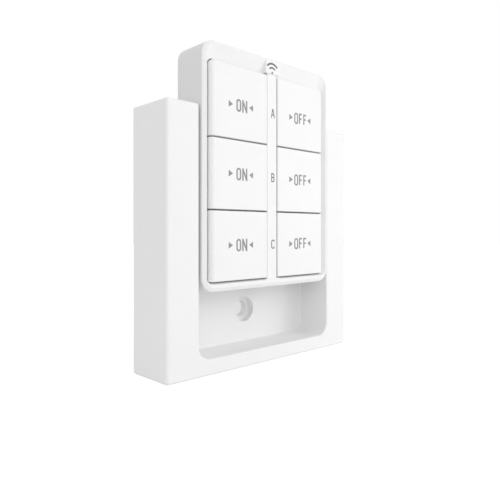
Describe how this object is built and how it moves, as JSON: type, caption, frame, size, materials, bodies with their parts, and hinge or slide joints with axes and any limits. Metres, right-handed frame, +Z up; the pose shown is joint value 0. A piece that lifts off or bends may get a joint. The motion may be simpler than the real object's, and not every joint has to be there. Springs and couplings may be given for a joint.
{
  "type": "wireless remote wall switch",
  "caption": "Square wall holder with a slim wireless remote that slides in from above; paired on and off press keys, lettered centre strip, screw-fixed back plate and a round battery cap.",
  "frame": {"origin": "centre of the holder's back face, on the wall plane", "axes": "+X to the right seen from the front, +Y into the wall, +Z up"},
  "size_m": [0.086, 0.0204, 0.1067],
  "materials": {
    "holder_plastic": "fine satin, white",
    "case_plastic": "fine satin, white",
    "key_plastic": "smooth satin, white",
    "legend_ink": "printed grey ink",
    "board_laminate": "green solder mask",
    "switch_plastic": "black, satin",
    "plunger_plastic": "black, satin",
    "chip_plastic": "black, matt",
    "can_metal": "tin plated",
    "antenna_wire": "enamelled copper",
    "cell_steel": "polished steel",
    "cell_holder_plastic": "black, matt",
    "contact_metal": "nickel plated spring",
    "screw_steel": "zinc plated"
  },
  "bodies": {
    "holder": {"wall_holder": "holder_plastic"},
    "remote": {"front_cover": "case_plastic", "rear_cover": "case_plastic", "circuit_board": "board_laminate", "switch_bodies": "switch_plastic", "encoder_chip": "chip_plastic", "transmitter_can": "can_metal", "crystal": "can_metal", "loop_antenna": "antenna_wire", "coin_cell": "cell_steel", "cell_holder": "cell_holder_plastic", "positive_contact": "contact_metal", "negative_contact": "contact_metal", "case_screws": "screw_steel"},
    "battery_cap": {"battery_cap": "case_plastic"},
    "key_on_a": {"key_on_a": "key_plastic", "plunger_on_a": "plunger_plastic"},
    "key_on_b": {"key_on_b": "key_plastic", "plunger_on_b": "plunger_plastic"},
    "key_on_c": {"key_on_c": "key_plastic", "plunger_on_c": "plunger_plastic"},
    "key_off_a": {"key_off_a": "key_plastic", "plunger_off_a": "plunger_plastic"},
    "key_off_b": {"key_off_b": "key_plastic", "plunger_off_b": "plunger_plastic"},
    "key_off_c": {"key_off_c": "key_plastic", "plunger_off_c": "plunger_plastic"}
  },
  "joints": [
    {"name": "remote_slide", "type": "slide", "parent": "holder", "child": "remote", "axis": [0, 0, 1], "range_m": [-0.02085, 0.062]},
    {"name": "battery_cap_turn", "type": "hinge", "parent": "remote", "child": "battery_cap", "pos_m": [0, -0.0058, 0.04165], "axis": [0, 1, 0], "range_deg": [0, 60]},
    {"name": "key_on_a_press", "type": "slide", "parent": "remote", "child": "key_on_a", "axis": [0, 1, 0], "range_m": [0, 0.0005], "stiffness_N_per_m": 1500, "springref_m": -0.0005},
    {"name": "key_on_b_press", "type": "slide", "parent": "remote", "child": "key_on_b", "axis": [0, 1, 0], "range_m": [0, 0.0005], "stiffness_N_per_m": 1500, "springref_m": -0.0005},
    {"name": "key_on_c_press", "type": "slide", "parent": "remote", "child": "key_on_c", "axis": [0, 1, 0], "range_m": [0, 0.0005], "stiffness_N_per_m": 1500, "springref_m": -0.0005},
    {"name": "key_off_a_press", "type": "slide", "parent": "remote", "child": "key_off_a", "axis": [0, 1, 0], "range_m": [0, 0.0005], "stiffness_N_per_m": 1500, "springref_m": -0.0005},
    {"name": "key_off_b_press", "type": "slide", "parent": "remote", "child": "key_off_b", "axis": [0, 1, 0], "range_m": [0, 0.0005], "stiffness_N_per_m": 1500, "springref_m": -0.0005},
    {"name": "key_off_c_press", "type": "slide", "parent": "remote", "child": "key_off_c", "axis": [0, 1, 0], "range_m": [0, 0.0005], "stiffness_N_per_m": 1500, "springref_m": -0.0005}
  ]
}
